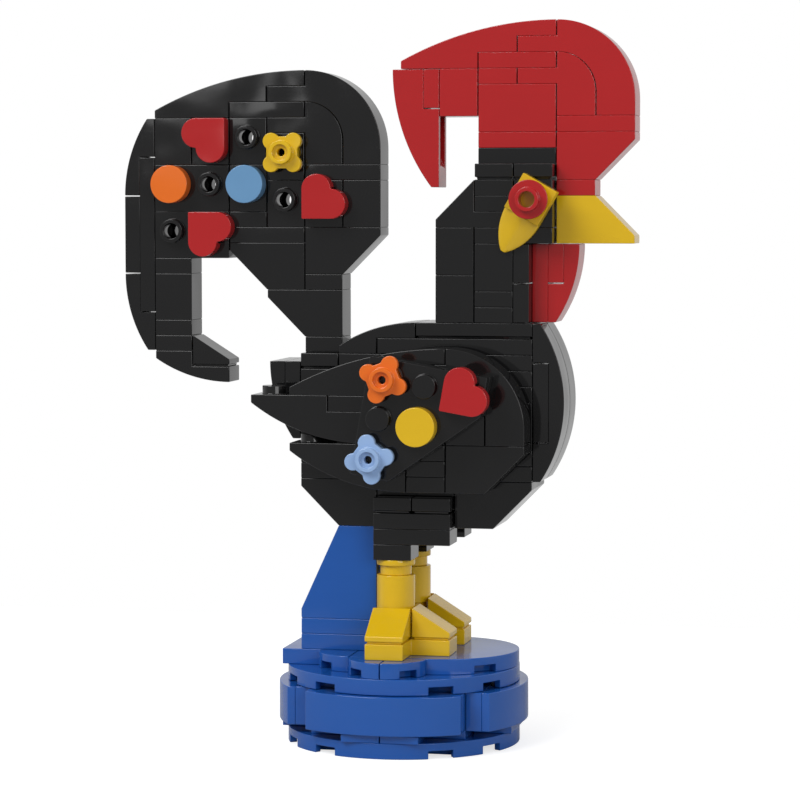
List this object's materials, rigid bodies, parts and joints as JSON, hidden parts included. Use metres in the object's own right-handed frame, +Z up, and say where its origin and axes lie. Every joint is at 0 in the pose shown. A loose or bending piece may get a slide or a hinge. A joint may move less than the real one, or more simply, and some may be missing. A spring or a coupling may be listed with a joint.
{
  "type": "rooster ornament",
  "caption": "Brick-built Portuguese folk rooster on a round blue foot: black body and tail, red comb, yellow beak and legs, with turning hearts, flowers, eyes and wing panels.",
  "frame": {"origin": "centre of the foot's flat underside", "axes": "+Z up from the foot, +X towards the beak, so that the tail is at -X and the wings face -Y and +Y"},
  "size_m": [0.1063, 0.0578, 0.1472],
  "materials": {
    "black_plastic": "gloss",
    "red_plastic": "gloss",
    "yellow_plastic": "gloss",
    "orange_plastic": "gloss",
    "azure_plastic": "gloss",
    "pale_blue_plastic": "gloss",
    "blue_plastic": "gloss"
  },
  "bodies": {
    "rooster": {"beak": "yellow_plastic", "body_bricks": "black_plastic", "body_curved_slopes": "black_plastic", "body_inverted_slopes": "black_plastic", "body_jumpers": "black_plastic", "body_plates": "black_plastic", "breast_curves": "black_plastic", "comb_back_slope": "red_plastic", "comb_bricks": "red_plastic", "comb_crown": "red_plastic", "comb_inverted_slope": "red_plastic", "comb_plates": "red_plastic", "foot_core": "blue_plastic", "foot_plates": "blue_plastic", "foot_sides": "blue_plastic", "foot_top": "blue_plastic", "leg_far": "yellow_plastic", "leg_near": "yellow_plastic", "neck_bricks": "black_plastic", "neck_jumpers": "black_plastic", "neck_plates": "black_plastic", "neck_slope": "black_plastic", "support": "blue_plastic", "tail_back_sides": "black_plastic", "tail_blue_tiles": "azure_plastic", "tail_bricks": "black_plastic", "tail_column": "black_plastic", "tail_crown": "black_plastic", "tail_hook": "black_plastic", "tail_inverted_slopes": "black_plastic", "tail_orange_tiles": "orange_plastic", "tail_plates": "black_plastic", "thigh_plates": "black_plastic", "wattle": "red_plastic", "wing_arches": "black_plastic", "wing_cores": "black_plastic", "wing_feathers": "black_plastic", "wing_slopes": "black_plastic"},
    "eye_near": {"eye_claw_near": "yellow_plastic", "eye_disc_near": "red_plastic"},
    "tail_heart_top_near": {"tail_heart_top_near": "red_plastic"},
    "tail_heart_front_near": {"tail_heart_front_near": "red_plastic"},
    "tail_heart_low_near": {"tail_heart_low_near": "red_plastic"},
    "tail_flower_near": {"tail_flower_near": "yellow_plastic"},
    "wing_panel_near": {"wing_panel_near": "black_plastic", "wing_tile_near": "yellow_plastic"},
    "wing_flower_orange_near": {"wing_flower_orange_near": "orange_plastic"},
    "wing_flower_blue_near": {"wing_flower_blue_near": "pale_blue_plastic"},
    "wing_heart_near": {"wing_heart_near": "red_plastic"},
    "eye_far": {"eye_claw_far": "yellow_plastic", "eye_disc_far": "red_plastic"},
    "tail_heart_top_far": {"tail_heart_top_far": "red_plastic"},
    "tail_heart_front_far": {"tail_heart_front_far": "red_plastic"},
    "tail_heart_low_far": {"tail_heart_low_far": "red_plastic"},
    "tail_flower_far": {"tail_flower_far": "yellow_plastic"},
    "wing_panel_far": {"wing_panel_far": "black_plastic", "wing_tile_far": "yellow_plastic"},
    "wing_flower_orange_far": {"wing_flower_orange_far": "orange_plastic"},
    "wing_flower_blue_far": {"wing_flower_blue_far": "pale_blue_plastic"},
    "wing_heart_far": {"wing_heart_far": "red_plastic"}
  },
  "joints": [
    {"name": "eye_turn_near", "type": "hinge", "parent": "rooster", "child": "eye_near", "pos_m": [0.028, -0.008, 0.1112], "axis": [0, 1, 0], "continuous": true},
    {"name": "tail_heart_top_turn_near", "type": "hinge", "parent": "rooster", "child": "tail_heart_top_near", "pos_m": [-0.04, -0.004, 0.124], "axis": [0, 1, 0], "continuous": true},
    {"name": "tail_heart_front_turn_near", "type": "hinge", "parent": "rooster", "child": "tail_heart_front_near", "pos_m": [-0.016, -0.004, 0.1112], "axis": [0, 1, 0], "continuous": true},
    {"name": "tail_heart_low_turn_near", "type": "hinge", "parent": "rooster", "child": "tail_heart_low_near", "pos_m": [-0.04, -0.004, 0.1048], "axis": [0, 1, 0], "continuous": true},
    {"name": "tail_flower_turn_near", "type": "hinge", "parent": "rooster", "child": "tail_flower_near", "pos_m": [-0.024, -0.004, 0.1208], "axis": [0, 1, 0], "continuous": true},
    {"name": "wing_panel_turn_near", "type": "hinge", "parent": "rooster", "child": "wing_panel_near", "pos_m": [0, -0.0176, 0.068], "axis": [0, 1, 0], "continuous": true},
    {"name": "wing_flower_orange_turn_near", "type": "hinge", "parent": "wing_panel_near", "child": "wing_flower_orange_near", "pos_m": [0.00139, -0.024, 0.07588], "axis": [0, 1, 0], "continuous": true},
    {"name": "wing_flower_blue_turn_near", "type": "hinge", "parent": "wing_panel_near", "child": "wing_flower_blue_near", "pos_m": [-0.00139, -0.024, 0.06012], "axis": [0, 1, 0], "continuous": true},
    {"name": "wing_heart_turn_near", "type": "hinge", "parent": "wing_panel_near", "child": "wing_heart_near", "pos_m": [0.01715, -0.024, 0.0731], "axis": [0, 1, 0], "continuous": true},
    {"name": "eye_turn_far", "type": "hinge", "parent": "rooster", "child": "eye_far", "pos_m": [0.028, 0.008, 0.1112], "axis": [0, 1, 0], "continuous": true},
    {"name": "tail_heart_top_turn_far", "type": "hinge", "parent": "rooster", "child": "tail_heart_top_far", "pos_m": [-0.04, 0.004, 0.124], "axis": [0, 1, 0], "continuous": true},
    {"name": "tail_heart_front_turn_far", "type": "hinge", "parent": "rooster", "child": "tail_heart_front_far", "pos_m": [-0.016, 0.004, 0.1112], "axis": [0, 1, 0], "continuous": true},
    {"name": "tail_heart_low_turn_far", "type": "hinge", "parent": "rooster", "child": "tail_heart_low_far", "pos_m": [-0.04, 0.004, 0.1048], "axis": [0, 1, 0], "continuous": true},
    {"name": "tail_flower_turn_far", "type": "hinge", "parent": "rooster", "child": "tail_flower_far", "pos_m": [-0.024, 0.004, 0.1208], "axis": [0, 1, 0], "continuous": true},
    {"name": "wing_panel_turn_far", "type": "hinge", "parent": "rooster", "child": "wing_panel_far", "pos_m": [0, 0.0176, 0.068], "axis": [0, 1, 0], "continuous": true},
    {"name": "wing_flower_orange_turn_far", "type": "hinge", "parent": "wing_panel_far", "child": "wing_flower_orange_far", "pos_m": [0.00139, 0.024, 0.07588], "axis": [0, 1, 0], "continuous": true},
    {"name": "wing_flower_blue_turn_far", "type": "hinge", "parent": "wing_panel_far", "child": "wing_flower_blue_far", "pos_m": [-0.00139, 0.024, 0.06012], "axis": [0, 1, 0], "continuous": true},
    {"name": "wing_heart_turn_far", "type": "hinge", "parent": "wing_panel_far", "child": "wing_heart_far", "pos_m": [0.01715, 0.024, 0.0731], "axis": [0, 1, 0], "continuous": true}
  ]
}
